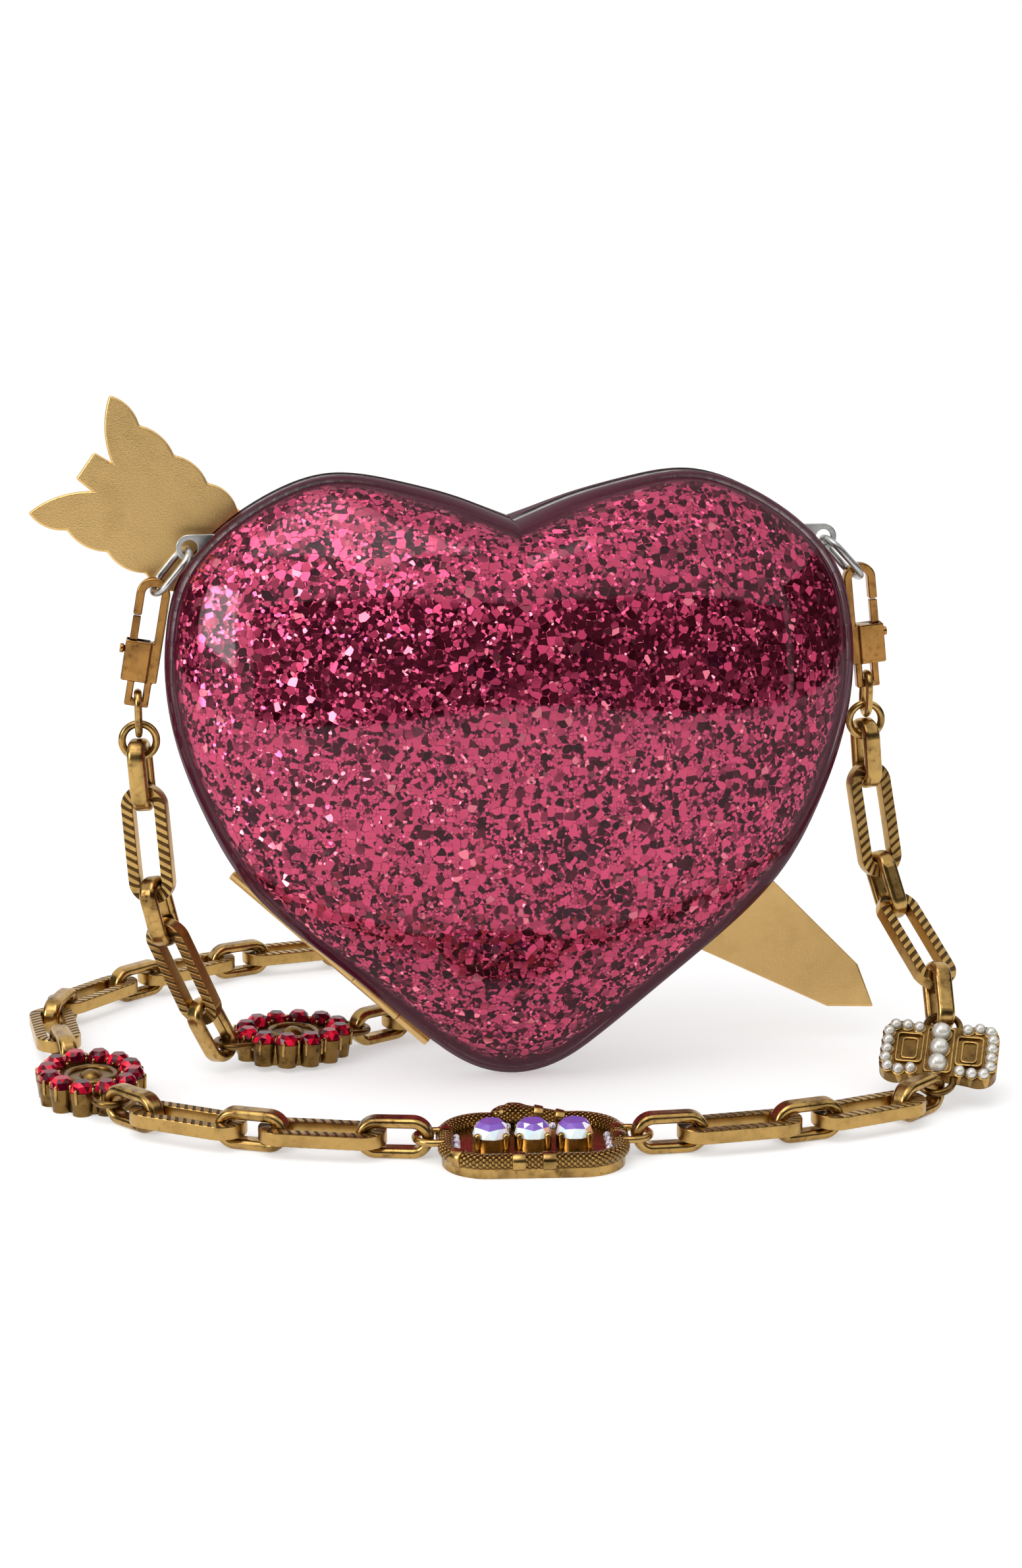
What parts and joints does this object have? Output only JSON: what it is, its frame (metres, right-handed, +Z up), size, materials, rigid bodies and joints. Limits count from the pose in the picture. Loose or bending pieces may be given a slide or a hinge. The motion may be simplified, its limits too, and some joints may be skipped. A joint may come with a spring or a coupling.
{
  "type": "heart shaped purse",
  "caption": "Hard heart-shaped purse with domed glitter halves, hinged front lid, arrow through the case and a heavy jewelled shoulder chain on snap hooks.",
  "frame": {"origin": "lowest point of the heart's tip, on the surface it stands on, in the parting plane of the two halves", "axes": "+X to the right of a viewer who faces the lid, +Y from the lid to the back, +Z up"},
  "size_m": [0.2523, 0.1948, 0.1799],
  "materials": {
    "clear_shell": "clear polished acrylic",
    "glitter": "pink glitter flakes cast in clear resin",
    "lining": "plain soft lining",
    "silver_frame": "satin silver",
    "old_silver": "tarnished silver",
    "magnet": "bright plated",
    "gold_screw": "satin",
    "arrow_gold": "satin, finely speckled",
    "hook_gold": "antique, worn bright at the edges",
    "chain_gold": "antique, dark in the recesses",
    "red_stone": "faceted",
    "crystal": "faceted, iridescent",
    "clear_stone": "faceted",
    "pearl": "lustrous",
    "spring_steel": "bare wire"
  },
  "bodies": {
    "case_and_chain": {"arrow_head": "arrow_gold", "arrow_screws": "gold_screw", "arrow_tail": "arrow_gold", "front_connectors": "chain_gold", "front_medallion_setting": "chain_gold", "front_medallion_stones": "red_stone", "hinge_pin": "silver_frame", "large_pearls": "pearl", "left_drop_connectors": "chain_gold", "left_hook_body": "hook_gold", "left_hook_spring": "spring_steel", "left_oval_ring": "chain_gold", "left_ring": "old_silver", "left_round_ring": "chain_gold", "left_tab": "old_silver", "long_link_01": "chain_gold", "long_link_02": "chain_gold", "long_link_03": "chain_gold", "long_link_04": "chain_gold", "long_link_05": "chain_gold", "long_link_06": "chain_gold", "long_link_07": "chain_gold", "long_link_08": "chain_gold", "long_link_09": "chain_gold", "long_link_10": "chain_gold", "long_link_11": "chain_gold", "long_link_12": "chain_gold", "long_link_13": "chain_gold", "long_link_14": "chain_gold", "long_link_15": "chain_gold", "pearl_setting": "chain_gold", "rear_connectors": "chain_gold", "rear_frame": "silver_frame", "rear_glitter": "glitter", "rear_hinge_leaf": "silver_frame", "rear_lining": "lining", "rear_magnet": "magnet", "rear_medallion_setting": "chain_gold", "rear_medallion_stones": "red_stone", "rear_shell": "clear_shell", "right_drop_connectors": "chain_gold", "right_hook_body": "hook_gold", "right_hook_spring": "spring_steel", "right_oval_ring": "chain_gold", "right_ring": "old_silver", "right_round_ring": "chain_gold", "right_tab": "old_silver", "small_pearls": "pearl", "snake_crystals": "crystal", "snake_frame": "chain_gold", "snake_small_stones": "clear_stone"},
    "lid": {"front_shell": "clear_shell", "front_glitter": "glitter", "front_lining": "lining", "front_frame": "silver_frame", "front_hinge_leaf": "silver_frame", "front_magnet": "magnet"},
    "left_gate": {"left_hook_gate": "hook_gold"},
    "right_gate": {"right_hook_gate": "hook_gold"}
  },
  "joints": [
    {"name": "lid_hinge", "type": "hinge", "parent": "case_and_chain", "child": "lid", "pos_m": [-0.04848, 0, 0.03221], "axis": [0.7284, 0, -0.6851], "range_deg": [0, 36]},
    {"name": "left_gate_slide", "type": "slide", "parent": "case_and_chain", "child": "left_gate", "axis": [-0.1822, 0, -0.9833], "range_m": [0, 0.0024], "stiffness_N_per_m": 150, "springref_m": -0.001, "deforming": ["left_hook_spring"]},
    {"name": "right_gate_slide", "type": "slide", "parent": "case_and_chain", "child": "right_gate", "axis": [0.1132, 0, -0.9936], "range_m": [0, 0.0024], "stiffness_N_per_m": 150, "springref_m": -0.001, "deforming": ["right_hook_spring"]}
  ]
}
